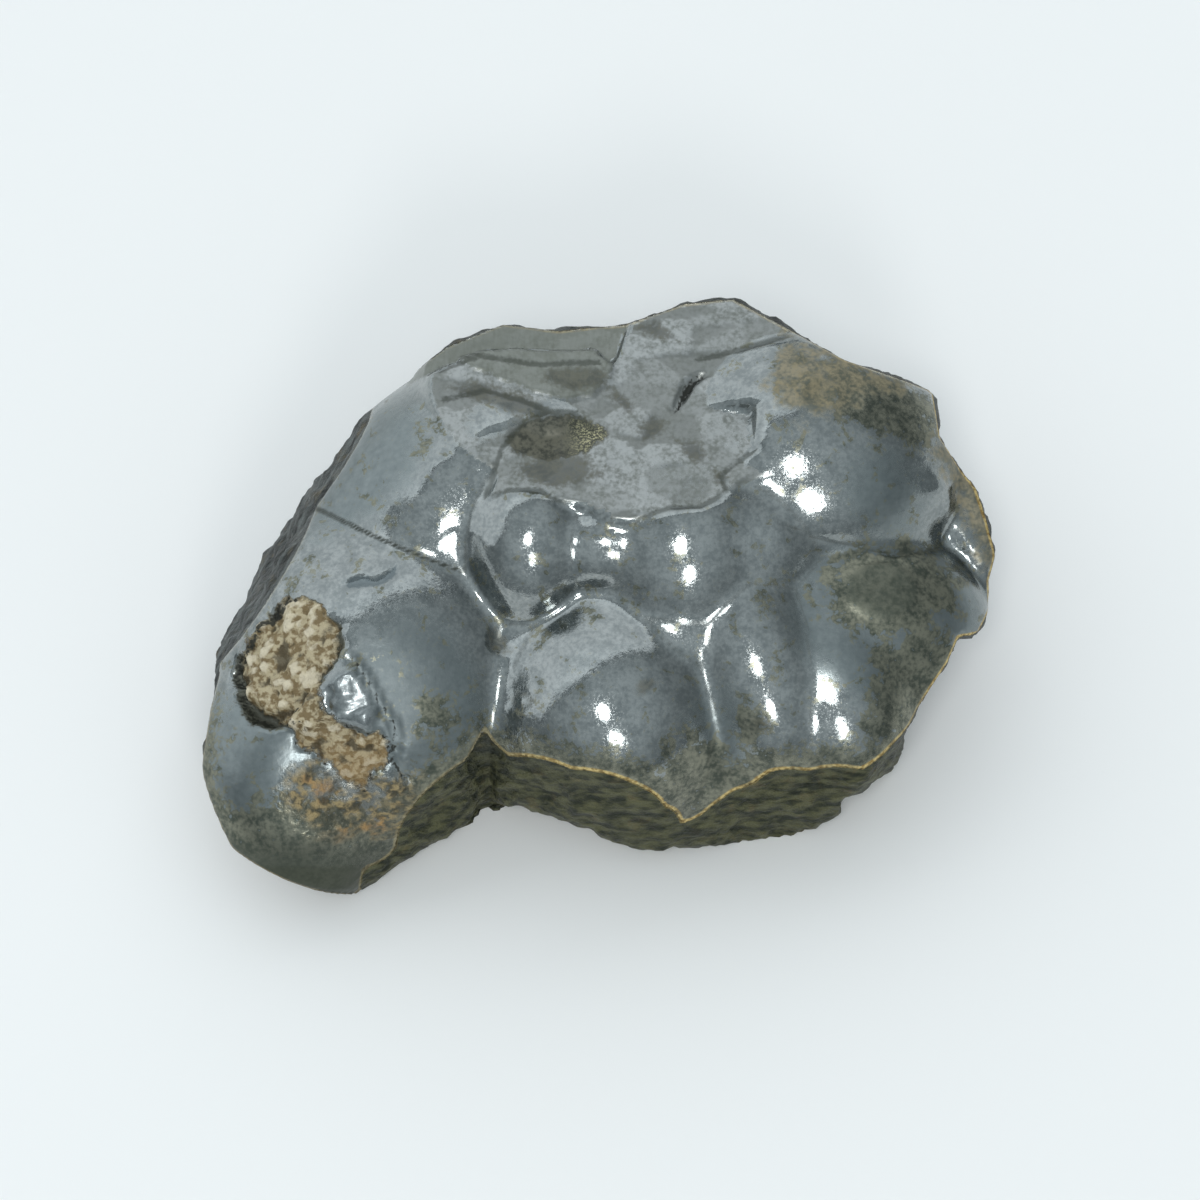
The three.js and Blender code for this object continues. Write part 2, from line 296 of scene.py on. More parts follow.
def from_line(plane_points, corners, closed):
    """Distance from a run of straight sides, with the unit vector away from the nearest point on it."""
    ends = corners[1:] + corners[:1] if closed else corners[1:]
    nearest = np.full(len(plane_points), 1e9)
    away = np.zeros_like(plane_points)
    for start, end in zip(corners, ends):
        side = np.array(end, float) - start
        out = plane_points - start
        share = np.clip(out @ side / (side @ side), 0, 1)
        gap = out - share[:, None] * side
        size = lengths(gap)
        closer = size < nearest
        nearest = np.where(closer, size, nearest)
        away[closer] = gap[closer]
    return nearest, away / (nearest[:, None] + 1e-9)


def from_outline(plane_points, corners):
    distance, away = from_line(plane_points, corners, True)
    x, y = plane_points.T
    inside = np.zeros(len(plane_points), bool)
    for (x1, y1), (x2, y2) in zip(corners, corners[1:] + corners[:1]):
        if y1 != y2:
            inside ^= ((y1 > y) != (y2 > y)) & (x < (x2 - x1) * (y - y1) / (y2 - y1) + x1)
    sign = np.where(inside, -1.0, 1.0)
    return distance * sign, away * sign[:, None]


def from_edge(points, corners):
    """Distance from a block cut square to the face."""
    distance, away = from_outline(points[:, :2], corners)
    return distance, np.column_stack([away, np.zeros(len(points))])


def from_front(points):
    distance, away = from_outline(to_stone(points)[:, :2], FRONT_BREAK)
    return distance, np.column_stack([away, np.zeros(len(points))]) @ FACE_TO_STONE


def from_flat(points, facing, rise, through):
    up, compass = math.radians(rise), math.radians(facing)
    normal = [math.cos(compass) * math.cos(up), math.sin(compass) * math.cos(up), math.sin(up)]
    distance = (to_stone(points) - np.array(through)) @ np.array(normal)
    return distance, np.tile(np.array(normal) @ FACE_TO_STONE, (len(points), 1))


def from_shelf(points, depth):
    up = math.radians(SHELF_RISE)
    normal = np.array([0, math.sin(up), math.cos(up)])
    return (points - np.array(SHELF_THROUGH)) @ normal + depth, np.tile(normal, (len(points), 1))


def least(parts, softness):
    distances = np.array([part[0] for part in parts])
    lowest = distances.min(0)
    weights = np.exp((lowest - distances) / softness)
    total = weights.sum(0)
    gradient = sum(weight[:, None] * part[1] for weight, part in zip(weights, parts))
    return lowest - softness * np.log(total), gradient / total[:, None]


def opposite(part):
    return -part[0], -part[1]


def most(parts, softness):
    return opposite(least([opposite(part) for part in parts], softness))


def from_domes(points):
    return [from_dome(points, *dome[1:]) for dome in DOMES]


def crust(points):
    """Distance from the domed face: the domes, the shelf that covers or cuts them, and the dome on it."""
    plate, plane = from_edge(points, SHELF_FRONT), from_shelf(points, 0)
    cut = most([plate, opposite(plane)], RIM_ROUND)
    domes = most([least(from_domes(points), CREASE_ROUND), opposite(cut)], RIM_ROUND)
    shelf = most([least([plate, from_dome(points, *SHELF_MOUND)], RIM_ROUND), plane], RIM_ROUND)
    return least([domes, shelf, from_dome(points, *STAINED_DOME)], RIM_ROUND)


def walls(points):
    """Distance from the breaks round the crust."""
    parts = [from_edge(points, EDGE), from_front(points)]
    parts += [from_flat(points, *flat[1:]) for flat in BREAKS]
    return most(parts, RIM_ROUND)


def surface(points):
    """Distance from the stone, its gradient, and how far inside the crust's edge a point is."""
    domed, sides = crust(points), walls(points)
    flake = least([opposite(from_edge(points, FLAKE)), from_shelf(points, FLAKE_DEPTH)], RIM_ROUND)
    face = most([domed, flake], RIM_ROUND)
    distance, gradient = most([face, sides], RIM_ROUND)
    normal = gradient / (lengths(gradient)[:, None] + 1e-9)
    across = face[1] - sides[1]
    across = across - (across * normal).sum(1)[:, None] * normal
    return distance, gradient, (face[0] - sides[0]) / np.maximum(lengths(across), 0.15)


# ---- the fine mesh ----
def cube_sphere():
    """A cube cut into small squares and blown up to a unit sphere: its points, faces and edges."""
    mesh = bmesh.new()
    bmesh.ops.create_cube(mesh, size=2)
    bmesh.ops.subdivide_edges(mesh, edges=mesh.edges[:], cuts=CUBE_CUTS, use_grid_fill=True)
    mesh.verts.index_update()
    points = np.array([v.co for v in mesh.verts])
    faces = np.array([[v.index for v in f.verts] for f in mesh.faces])
    edges = np.array([[v.index for v in e.verts] for e in mesh.edges])
    mesh.free()
    points = np.tan(points * math.pi / 4)
    points = points / lengths(points)[:, None] + np.array([0, 0, FACE_SHARE])
    return points / lengths(points)[:, None], faces, edges


def neighbour_mean(values, edges):
    count = np.bincount(edges.ravel(), minlength=len(values))
    total = np.empty_like(values)
    for k in range(values.shape[1]):
        total[:, k] = np.bincount(edges[:, 0], values[edges[:, 1], k], len(values))
        total[:, k] += np.bincount(edges[:, 1], values[edges[:, 0], k], len(values))
    return total / count[:, None]


def shoot(rays):
    """Where rays from inside leave the stone, found by halving."""
    near, far = np.zeros(len(rays)), np.full(len(rays), float(OUTSIDE))
    for _ in range(HALVINGS):
        middle = (near + far) / 2
        inside = surface(INSIDE + rays * middle[:, None])[0] < 0
        near, far = np.where(inside, middle, near), np.where(inside, far, middle)
    return INSIDE + rays * near[:, None]


def settle(points, edges):
    """Even out the mesh while it stays on the surface."""
    for _ in range(SETTLE_ROUNDS):
        distance, gradient, _ = surface(points)
        steep = (gradient * gradient).sum(1)[:, None] + 1e-9
        points = points - distance[:, None] * gradient / steep
        move = neighbour_mean(points, edges) - points
        move -= (move * gradient).sum(1)[:, None] * gradient / steep
        points = points + SETTLE_SHARE * move
    for _ in range(SETTLE_LAST):
        distance, gradient, margin = surface(points)
        steep = (gradient * gradient).sum(1)[:, None] + 1e-9
        points = points - distance[:, None] * gradient / steep
    return points, gradient / lengths(gradient)[:, None], margin


# ---- relief ----
def rise(low, high, value):
    share = np.clip((value - low) / (high - low), 0, 1)
    return share * share * (3 - 2 * share)


def within(face, corners):
    return -from_outline(face, corners)[0]


def near(face, corners):
    return from_line(face, corners, False)[0]


def spot(face, place):
    u, v, half_width, half_height, turn = place
    own = (face - np.array([u, v])) @ turn_z(turn)[:2, :2] / np.array([half_width, half_height])
    return (1 - lengths(own)) * min(half_width, half_height)


def shifted(points, size, seed):
    """The points in units of a noise with features of that size, moved so that no two seeds agree."""
    shift = np.array([17.3, 5.1, 29.7]) * seed
    return [Vector(p) for p in points / size + shift]


def grain(points, size, octaves, seed):
    """Smooth noise between about -1 and 1."""
    return np.array([noise.fractal(p, 1.0, 2.0, octaves) for p in shifted(points, size, seed)])


def crumbs(points, size, seed):
    """Rounded lumps side by side: about -0.5 in the gaps to 0.5 on their tops."""
    return np.array([0.5 - noise.voronoi(p)[0][0] for p in shifted(points, size, seed)])


def crumb_pile(points):
    return sum(weight * crumbs(points, size, seed) for size, weight, seed in CRUMBS)


def chips(points, size, seed):
    """Flat chips side by side: one value between -1 and 1 for each."""
    return np.array([noise.cell(noise.voronoi(p)[1][0] * 7.7) for p in shifted(points, size, seed)])


def only(mask, make):
    """The values that make gives at the points of the mask, and 0 elsewhere."""
    values = np.zeros(len(mask))
    values[mask] = make(mask)
    return values


def crease_gap(domes):
    """How far a point is from where two domes meet at an angle; a smooth blend counts as far."""
    distances = np.array([dome[0] for dome in domes])
    slopes = np.array([dome[1] for dome in domes])
    order = np.argsort(distances, 0)[:2]
    rows = np.arange(distances.shape[1])
    sharp = 1 - (slopes[order[0], rows] * slopes[order[1], rows]).sum(1)
    return distances[order[1], rows] - distances[order[0], rows] + 0.5 * (1 - rise(0.06, 0.25, sharp))


def pit_marks(points, face, wobble, domed):
    """The pits in the left lobe, the crumbly filling in them, the lump between them and the stain below."""
    upper = within(face, UPPER_PIT) + wobble
    filling = within(face, UPPER_FILLING) + wobble + 0.15
    lower = within(face, LOWER_PIT) + wobble
    lump = within(face, LUMP) + 0.6 * wobble
    ochre = within(face, OCHRE_STAIN) + 3 * wobble
    step = near(face, LOBE_STEP)
    crumbly = domed & (np.max([upper, lower, lump, ochre - 0.2], 0) > -0.2)
    lumps = only(crumbly, lambda m: crumb_pile(points[m]))
    facets = only(domed & (lump > -0.2), lambda m: chips(points[m], LUMP_CHIP, 4))
    height = -PIT_DEPTH * rise(0, 0.5, upper)
    height += rise(-0.1, 0.5, filling) * (FILLING_HEIGHT + FILLING_CRUMBS * lumps)
    height -= LOWER_PIT_DEPTH * rise(0, 0.3, lower)
    height += rise(0.1, 0.5, lower) * (LOWER_FILLING_HEIGHT + LOWER_FILLING_CRUMBS * lumps)
    height += rise(-0.1, 0.3, lump) * (LUMP_HEIGHT + LUMP_FACETS * facets)
    height += OCHRE_ROUGHNESS * rise(-0.4, 0.5, ochre) * lumps
    height -= STEP_DEPTH * (1 - rise(0.04, 0.3, step))
    # where the pit's open wall, the step's groove and the lower pit's edge get painted shadow
    wall = np.where(face[:, 0] < PIT_WALL_LEFT_OF, 0.16 - np.abs(upper - 0.25), -1)
    gap = np.max([wall, 0.13 - step, 0.1 - np.abs(lower)], 0)
    orange = np.max([spot(face, place) for place in ORANGE_SPOTS], 0) + wobble
    fields = {"pit": upper, "tan": np.maximum(filling, lower), "grit": lump, "ochre": ochre, "gap": gap}
    fields.update({"lumps": lumps, "orange": orange})
    return fields, height


def shelf_marks(points, face, wobble, domed, domes_at):
    """The shelf behind the domes: plates, ledges, a crack and brown stains."""
    level, scar = from_shelf(points, 0)[0], within(face, FLAKE)
    mound = most([from_dome(points, *SHELF_MOUND), from_shelf(points, 0)], RIM_ROUND)[0]
    shelf = np.minimum(0.1 - np.abs(level), np.maximum(within(face, SHELF_FRONT), domes_at - mound))
    shelf = np.maximum(shelf, np.minimum(scar, 0.3 - np.abs(level + FLAKE_DEPTH)))
    plate, crack = within(face, TOP_PLATE) + 0.4 * wobble, within(face, CRACK)
    ledge = np.min([near(face, line) for line in LEDGES], 0) + 0.3 * np.abs(wobble)
    lip = near(face, SHELF_LIP) + 0.5 * np.abs(wobble)
    button = near(face, BUTTON_LINE) + 0.08 + 0.3 * np.abs(wobble)
    brown = np.max([within(face, patch) for patch in BROWN_PATCHES], 0) + 0.3 * wobble
    smudge = np.max([spot(face, place) for place in SMUDGES], 0) + 0.9 * wobble
    stained = spot(face, STAINED) + 0.8 * wobble
    flat = domed & (shelf > -0.1)
    facet = only(flat, lambda m: chips(points[m] * np.array([1, 1.6, 1]), SHELF_CHIP, 5))
    height = SHELF_FACETS * facet + only(flat, lambda m: SHELF_GRAIN * grain(points[m], 0.7, 3, 6))
    height += PLATE_HEIGHT * rise(-0.05, 0.12, plate) - CRACK_DEPTH * rise(-0.1, 0.15, crack)
    height -= LINE_DEPTH * (1 - rise(0.02, 0.22, ledge)) + BROWN_DEPTH * rise(-0.1, 0.3, brown)
    height -= LINE_DEPTH * (1 - rise(0.05, 0.25, lip)) + LINE_DEPTH * (1 - rise(0.05, 0.4, button))
    fields = {"shelf": shelf, "brown": np.max([brown, smudge, stained], 0), "stained": stained}
    fields.update({"plates": np.maximum(plate, scar), "facet": facet})
    # thin lines of painted shade along the ledges, the shelf's lip and the line above the button
    fields["line"] = 0.3 - np.min([ledge, lip, button], 0)
    return fields, height, crack


def small_marks(face, wobble):
    """Round marks, the ridge along the flange and soft patches of dirt, film and dull skin."""
    swirl, ring, disc = spot(face, SWIRL), spot(face, RING_PIT), spot(face, BUTTON_DISC)
    dent, dark = within(face, LOBE_DENT) + 0.4 * wobble, spot(face, DARK_SPOT) + 1.2 * wobble
    height = SWIRL_HEIGHT * np.exp(-((swirl - 0.15) / 0.2) ** 2) - SWIRL_DEPTH * rise(0.2, 0.8, swirl)
    height -= RING_DEPTH * np.exp(-((ring / 0.12) ** 2)) + DENT_DEPTH * rise(-0.05, 0.2, dent)
    height -= DARK_DEPTH * rise(0, 0.4, dark)
    height += DISC_HEIGHT * rise(-0.1, 0.2, disc)
    height += FLANGE_RIDGE_HEIGHT * np.exp(-((near(face, FLANGE_RIDGE) / FLANGE_RIDGE_WIDTH) ** 2))
    # the ring pit's rim gets painted shade, in the same way as the dark spot
    dark = np.maximum(dark, 0.14 - np.abs(ring))
    dirt = np.maximum(within(face, DIRT) + 2 * wobble, within(face, FLANGE_TAN) + 0.6 * wobble + 0.9)
    film = np.max([spot(face, place) for place in FILM_SPOTS], 0)
    satin = np.max([spot(face, place) for place in SATIN_SPOTS], 0)
    matt = np.max([spot(face, place) for place in MATT_SPOTS], 0)
    fields = {"dull": np.maximum(disc, swirl), "slate": dent}
    fields.update({"dirt": dirt, "film": film, "satin": satin, "matt": matt})
    return fields, height, dark


def broken_relief(points, normals, margin):
    """The grain of the broken sides, drawn out along the fibres that run square to the face."""
    broken = (margin < 0) & ((normals @ FACE_TO_STONE.T)[:, 2] > -0.9)
    along = points * np.array([1, 1, 0.3])
    lumps = only(broken, lambda m: BREAK_LUMPS * grain(points[m], 4.5, 4, 7))
    fibres = only(broken, lambda m: BREAK_FIBRES * grain(along[m], 0.9, 3, 8))
    return rise(0, 0.8, -margin) * (lumps + fibres)


def skin_relief(points, face, domed):
    """The bright skin's own unevenness, and the ripples on the shoulder."""
    fine = only(domed, lambda m: SKIN_ROUGHNESS * grain(points[m], 1.5, 4, 9))
    waves = only(domed, lambda m: SKIN_WAVES * grain(points[m], 4.2, 2, 10))
    ripples = spot(face, SHOULDER_RIPPLES)
    rippled = only(domed & (ripples > 0), lambda m: RIPPLE_HEIGHT * grain(points[m], 2.2, 2, 11))
    return fine + waves + rippled * rise(0, 1.5, ripples)


def fields_and_relief(points, normals, margin):
    """What the material reads at each point, and how far the surface is raised there, in millimetres."""
    face = points[:, :2]
    domed = (margin > 0) & (normals[:, 2] > 0.1)
    wobble = only(domed, lambda m: EDGE_WOBBLE * grain(points[m], 0.9, 3, 1))
    domes = from_domes(points)
    domes_at = np.min([dome[0] for dome in domes], 0)
    pits, pit_height = pit_marks(points, face, wobble, domed)
    shelf, shelf_height, cracked = shelf_marks(points, face, wobble, domed, domes_at)
    small, small_height, dark = small_marks(face, wobble)
    height = (pit_height + shelf_height + small_height) * domed + skin_relief(points, face, domed)
    pits["gap"] = np.maximum(pits["gap"], cracked)
    # the dark spot and the painted shade round the ring pit take the brown stains' colour
    shelf["brown"] = np.maximum(shelf["brown"], dark)
    marks = {**pits, **shelf, **small}
    fields = {name: np.where(domed, values, -1) for name, values in marks.items()}
    fields["crease"] = crease_gap(domes) + 10 * (shelf["shelf"] > -0.1)
    fields["crust"] = margin
    return fields, height + broken_relief(points, normals, margin)


def build_stone():
    sphere, faces, edges = cube_sphere()
    rays = sphere * SPREAD
    rays /= lengths(rays)[:, None]
    points, normals, margin = settle(shoot(rays), edges)
    middle = (to_stone(points).min(0) + to_stone(points).max(0)) / 2
    fields, height = fields_and_relief(points, normals, margin)
    placed = to_stone(points + normals * height[:, None])
    placed[:, :2] -= middle[:2]
    placed[:, 2] = np.maximum(placed[:, 2], 0)

    mesh = bpy.data.meshes.new("hematite_crust")
    mesh.from_pydata((placed * MM).tolist(), [], faces.tolist())
    mesh.polygons.foreach_set("use_smooth", [True] * len(mesh.polygons))
    for name, values in fields.items():
        attribute = mesh.attributes.new(name, "FLOAT", "POINT")
        attribute.data.foreach_set("value", values.astype(np.float32))
    mesh.update()
    stone = bpy.data.objects.new("hematite_stone", mesh)
    bpy.context.scene.collection.objects.link(stone)
    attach(stone, "root")
    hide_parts("hematite")
    return stone


# ---- colours: one, or a dark and a light one that a noise mixes ----
def rgb(red, green, blue):
    return (red, green, blue, 1.0)


STEEL = (rgb(0.215, 0.235, 0.235), rgb(0.335, 0.355, 0.35))
SATIN = (rgb(0.13, 0.155, 0.16), rgb(0.25, 0.28, 0.28))
MATT_SLATE = rgb(0.1, 0.12, 0.125)
OLIVE_FILM = (rgb(0.06, 0.068, 0.048), rgb(0.23, 0.225, 0.165))
TOE_OLIVE = rgb(0.045, 0.05, 0.032)
SHELF_CHIPS = (rgb(0.20, 0.21, 0.20), rgb(0.35, 0.365, 0.36))
SHELF_MOTTLE = rgb(0.17, 0.18, 0.165)
# painted shade for the creases between domes
PAINTED_CREASE_SHADE = rgb(0.03, 0.034, 0.026)
PLATES = (rgb(0.12, 0.13, 0.10), rgb(0.22, 0.23, 0.205))
DENT_DARK_REFLECTION = rgb(0.10, 0.125, 0.135)
DULL_DISC = (rgb(0.05, 0.06, 0.045), rgb(0.14, 0.15, 0.12))
TAN_DIRT = (rgb(0.09, 0.095, 0.07), rgb(0.26, 0.22, 0.135))
BROWN_STAIN_AND_RING_SHADE = (rgb(0.028, 0.03, 0.02), rgb(0.11, 0.106, 0.078))
YELLOW_STAIN = rgb(0.42, 0.40, 0.24)
RUST = (rgb(0.06, 0.052, 0.028), rgb(0.33, 0.25, 0.12))
RUST_ORANGE = rgb(0.38, 0.22, 0.08)
RUST_SHADE = rgb(0.03, 0.03, 0.018)
PIT_SHADE = (rgb(0.02, 0.021, 0.015), rgb(0.15, 0.155, 0.125))
GRIT = (rgb(0.10, 0.115, 0.12), rgb(0.34, 0.37, 0.37))
CRUMB = (rgb(0.2, 0.145, 0.07), rgb(0.47, 0.40, 0.26))
CRUMB_HIGHLIGHT = rgb(0.68, 0.61, 0.46)
CRUMB_BELOW = rgb(0.30, 0.19, 0.075)
CRUMB_SHADE = rgb(0.05, 0.04, 0.022)
SHADE_LINE = rgb(0.035, 0.04, 0.03)
GAP_SHADOW = rgb(0.014, 0.016, 0.012)
OLIVE_BREAK = (rgb(0.016, 0.02, 0.01), rgb(0.1, 0.1, 0.048))
GREY_BREAK = (rgb(0.016, 0.019, 0.015), rgb(0.07, 0.078, 0.068))
STREAKED_BREAK = (rgb(0.014, 0.017, 0.015), rgb(0.11, 0.125, 0.12))
RUSTY_BREAK = (rgb(0.04, 0.03, 0.012), rgb(0.15, 0.115, 0.05))
GOLD = (rgb(0.26, 0.17, 0.05), rgb(0.62, 0.48, 0.2))
FLOOR_WHITE = rgb(0.88, 0.88, 0.87)
CARD_GREY = rgb(0.12, 0.13, 0.14)
ROOM = (rgb(0.31, 0.35, 0.365), rgb(0.64, 0.715, 0.75))
PANEL_WHITE = (0.92, 0.965, 1.0)


# ---- materials ----
def add(tree, kind, inputs, **settings):
    node = tree.nodes.new(kind)
    for name, value in settings.items():
        setattr(node, name, value)
    for key, value in inputs.items():
        if isinstance(value, bpy.types.NodeSocket):
            tree.links.new(value, node.inputs[key])
        else:
            node.inputs[key].default_value = value
    return node


def field(tree, name):
    return add(tree, "ShaderNodeAttribute", {}, attribute_name=name).outputs["Fac"]


def cloud(tree, where, scale, detail=3.0, twist=0.0):
    inputs = {"Vector": where, "Scale": scale, "Detail": detail, "Distortion": twist}
    return add(tree, "ShaderNodeTexNoise", inputs).outputs[0]


def mapped(tree, where, turn=(0, 0, 0), scale=(1, 1, 1)):
    """The same place in other units and, after that, turned."""
    return add(tree, "ShaderNodeMapping", {"Vector": where, "Rotation": turn, "Scale": scale}).outputs[0]


def sums(tree, operation, first, second=0.0, third=0.0):
    return add(tree, "ShaderNodeMath", {0: first, 1: second, 2: third}, operation=operation).outputs[0]


def ramp(tree, value, low, high, bottom=0.0, top=1.0):
    inputs = {"Value": value, "From Min": low, "From Max": high, "To Min": bottom, "To Max": top}
    return add(tree, "ShaderNodeMapRange", inputs, interpolation_type="SMOOTHSTEP").outputs[0]


def blend(tree, share, first, second):
    return add(tree, "ShaderNodeMix", {0: share, 2: first, 3: second}, data_type="FLOAT").outputs[0]


def tint(tree, share, first, second):
    return add(tree, "ShaderNodeMix", {0: share, 6: first, 7: second}, data_type="RGBA").outputs[2]


def wavy(tree, n, noise, strength, name):
    """A field whose edge a noise moves to and fro: by half the strength on each side."""
    lowered = sums(tree, "ADD", field(tree, name), -strength / 2)
    return sums(tree, "MULTIPLY_ADD", n[noise], strength, lowered)


def jagged(tree, n, strength, name):
    """A field whose edge the fine ragged noise moves to and fro."""
    return sums(tree, "MULTIPLY_ADD", n["ragged"], strength, field(tree, name))


def layer(tree, under, share, colour, metal, rough):
    """One more layer over what is there: its share, colour, metallic value and roughness."""
    return (
        tint(tree, share, under[0], colour),
        blend(tree, share, under[1], metal),
        blend(tree, share, under[2], rough),
    )


def noises(tree):
    """Clouds of several sizes, along the face's own axes, in millimetres from the stone's own origin."""
    place = add(tree, "ShaderNodeTexCoord", {}).outputs["Object"]
    where = mapped(tree, place, turn=(math.radians(-CRUST_LEAN), 0, 0), scale=(1 / MM, 1 / MM, 1 / MM))
    fibres_at = mapped(tree, where, scale=(0.35, 1, 0.5))
    flank_at = mapped(tree, mapped(tree, where, turn=(0, 0, math.radians(-61))), scale=(0.5, 3.5, 0.9))
    streaks_at = mapped(tree, where, turn=(0, 0, 0.5), scale=(2.4, 0.5, 1))
    across = add(tree, "ShaderNodeSeparateXYZ", {"Vector": where}).outputs
    fine, middle = cloud(tree, where, 4.0, 5), cloud(tree, where, 1.1, 5)
    return {
        "middle": middle,
        "blotch": cloud(tree, where, 0.8, 8, 0.8),
        "fine": fine,
        "speck": cloud(tree, where, 9.0, 3),
        "grains": cloud(tree, where, 2.2, 4),
        "mottle": blend(tree, 0.5, fine, middle),
        "fibres": cloud(tree, fibres_at, 2.4, 5),
        "flank": cloud(tree, flank_at, 1.0, 5),
        "streaks": cloud(tree, streaks_at, 2.0, 4),
        "ragged": sums(tree, "MULTIPLY_ADD", fine, 0.5, -0.25),
        "u": across[0],
        "v": across[1],
    }


def clean_skin(tree, n):
    """Bright steel grey with dull specks, satin in places."""
    steel = tint(tree, ramp(tree, n["mottle"], 0.36, 0.64), *STEEL)
    look = (steel, 1.0, ramp(tree, n["speck"], 0.5, 0.66, 0.07, 0.26))
    satin = ramp(tree, wavy(tree, n, "middle", 3.0, "satin"), -0.5, 1.5, 0.0, 0.9)
    matt = field(tree, "matt")
    duller = tint(tree, ramp(tree, matt, -0.4, 1.6, 0.0, 0.4), tint(tree, n["grains"], *SATIN), MATT_SLATE)
    return layer(tree, look, satin, duller, metal=1.0, rough=ramp(tree, matt, -0.4, 1.6, 0.32, 0.54))


def olive_film(tree, n, crust, look):
    """A thin speckled film that thickens towards the lower rim and darkens the lobe's toe."""
    spots = ramp(tree, wavy(tree, n, "blotch", 5.0, "film"), -0.9, 1.2, 0.0, 0.9)
    rim = ramp(tree, sums(tree, "MULTIPLY_ADD", n["middle"], 2.0, crust), 1.2, 3.6, 0.9, 0.0)
    rim = sums(tree, "MULTIPLY", rim, ramp(tree, n["v"], 2.0, -7.0))
    patches = ramp(tree, n["blotch"], 0.5, 0.68, 0.0, 0.5)
    film = sums(tree, "MAXIMUM", sums(tree, "MAXIMUM", patches, spots), rim)
    specks = ramp(tree, sums(tree, "MULTIPLY_ADD", film, 0.45, n["fine"]), 0.62, 0.74)
    film = sums(tree, "MULTIPLY", specks, ramp(tree, film, 0.0, 0.5, 0.25, 0.85))
    olive = tint(tree, ramp(tree, n["mottle"], 0.36, 0.64), *OLIVE_FILM)
    toe = ramp(tree, n["v"], -9.0, -12.0, 0.0, 0.92)
    toe = sums(tree, "MULTIPLY", ramp(tree, n["u"], -10.0, -13.0), toe)
    olive = tint(tree, toe, olive, TOE_OLIVE)
    return layer(tree, look, sums(tree, "MAXIMUM", film, toe), olive, metal=0.85, rough=0.3)


def shelf_and_creases(tree, n, look):
    """The grey shelf, and painted shade in the creases, which is thick at the upper left only."""
    shelf = ramp(tree, jagged(tree, n, 0.3, "shelf"), -0.04, 0.06)
    chipped = tint(tree, ramp(tree, field(tree, "facet"), -1.0, 1.0), *SHELF_CHIPS)
    grey = tint(tree, ramp(tree, n["mottle"], 0.4, 0.7), chipped, SHELF_MOTTLE)
    look = layer(tree, look, shelf, grey, metal=0.9, rough=ramp(tree, n["fine"], 0.35, 0.7, 0.32, 0.45))
    # painted shade along the creases, strongest at the upper left
    crease = ramp(tree, jagged(tree, n, 0.2, "crease"), 0.04, 0.2, 0.9, 0.0)
    upper_left = sums(tree, "MULTIPLY", ramp(tree, n["v"], -1.0, 2.0), ramp(tree, n["u"], -7.6, -8.6))
    crease = sums(tree, "MULTIPLY", crease, ramp(tree, upper_left, 0.0, 1.0, 0.3, 1.0))
    return layer(tree, look, crease, PAINTED_CREASE_SHADE, metal=0.4, rough=0.45)


def face_marks(tree, n, look):
    """The shelf's plates, the dent painted slate as a dark painted reflection, the dull disc and swirl, and
    the tan dirt at the right.
    """
    plates = ramp(tree, jagged(tree, n, 1.0, "plates"), 0.0, 0.15, 0.0, 0.7)
    look = layer(tree, look, plates, tint(tree, n["streaks"], *PLATES), metal=0.7, rough=0.42)
    # painted reflection: the dent on the lobe's top is coloured dark as if it mirrored something dark
    slate = ramp(tree, jagged(tree, n, 1.0, "slate"), -0.05, 0.1, 0.0, 0.75)
    look = layer(tree, look, slate, DENT_DARK_REFLECTION, metal=0.95, rough=0.18)
    dull = ramp(tree, jagged(tree, n, 1.0, "dull"), -0.1, 0.3, 0.0, 0.6)
    look = layer(tree, look, dull, tint(tree, n["grains"], *DULL_DISC), metal=0.7, rough=0.5)
    dirt = sums(tree, "MULTIPLY_ADD", n["middle"], 3.0, jagged(tree, n, 1.0, "dirt"))
    speckled = tint(tree, ramp(tree, n["mottle"], 0.36, 0.64), *TAN_DIRT)
    return layer(tree, look, ramp(tree, dirt, 1.2, 2.4, 0.0, 0.85), speckled, metal=0.3, rough=0.5)


def brown_stains(tree, n, look):
    """Brown stains, with a yellow one on the dome that stands up out of the shelf; the same brown also
    paints shade round the ring pit's rim.
    """
    stained = jagged(tree, n, 1.0, "stained")
    brown = ramp(tree, jagged(tree, n, 1.6, "brown"), -0.15, 0.4, 0.0, 0.65)
    brown = sums(tree, "MAXIMUM", brown, ramp(tree, stained, -0.1, 0.2, 0.0, 0.92))
    streaked = tint(tree, ramp(tree, n["mottle"], 0.38, 0.62), *BROWN_STAIN_AND_RING_SHADE)
    look = layer(tree, look, brown, streaked, metal=0.5, rough=0.45)
    yellow = sums(tree, "MULTIPLY", ramp(tree, n["u"], -2.4, 0.0), ramp(tree, stained, 0.0, 0.4))
    yellow = sums(tree, "MULTIPLY", yellow, ramp(tree, n["speck"], 0.45, 0.6))
    return layer(tree, look, yellow, YELLOW_STAIN, metal=0.1, rough=0.5)


def ochre_stain(tree, n, look):
    """Rusty crumbs below the pits, with painted shade between them; also the share of them at each point."""
    ochre = ramp(tree, jagged(tree, n, 1.0, "ochre"), -0.6, 1.0, 0.0, 0.95)
    ochre = sums(tree, "MULTIPLY", ochre, ramp(tree, n["middle"], 0.40, 0.56, 0.45, 1.0))
    rust = tint(tree, ramp(tree, n["grains"], 0.38, 0.62), *RUST)
    orange = ramp(tree, wavy(tree, n, "middle", 2.5, "orange"), 0.0, 0.5, 0.0, 0.85)
    rust = tint(tree, orange, rust, RUST_ORANGE)
    # painted shade in the hollows between the rusty crumbs
    rust = tint(tree, ramp(tree, field(tree, "lumps"), -0.1, -0.3, 0.0, 0.8), rust, RUST_SHADE)
    return layer(tree, look, ochre, rust, metal=0.1, rough=0.5), ochre


